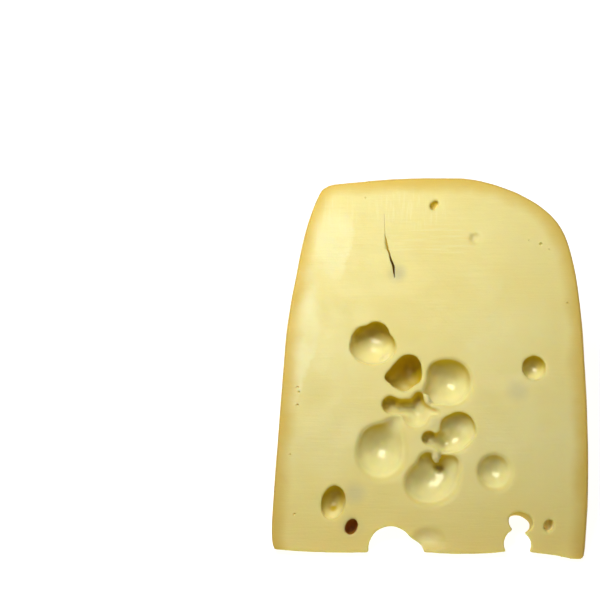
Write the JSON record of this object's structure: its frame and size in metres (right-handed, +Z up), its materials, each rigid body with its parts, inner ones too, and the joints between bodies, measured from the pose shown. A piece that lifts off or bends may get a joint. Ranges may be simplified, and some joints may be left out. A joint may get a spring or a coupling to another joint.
{
  "type": "cheese wedge",
  "caption": "Wedge of semi-hard cheese lying on a cut face, with round gas eyes in both cut faces, a thin pierced tip and a smooth golden rind.",
  "frame": {"origin": "middle of the bounding box's base, on the surface that the wedge lies on", "axes": "+Z up; +Y from the wheel's axle at the thin tip out to the rounded rim; X along the wheel's axle, with the broad round shoulder of the rim at +X"},
  "size_m": [0.1146, 0.1416, 0.0835],
  "materials": {
    "cheese": "moist satin paste, pale yellow, golden towards a thin waxy rind"
  },
  "bodies": {
    "root": {"cheese_wedge": "cheese"}
  },
  "joints": []
}
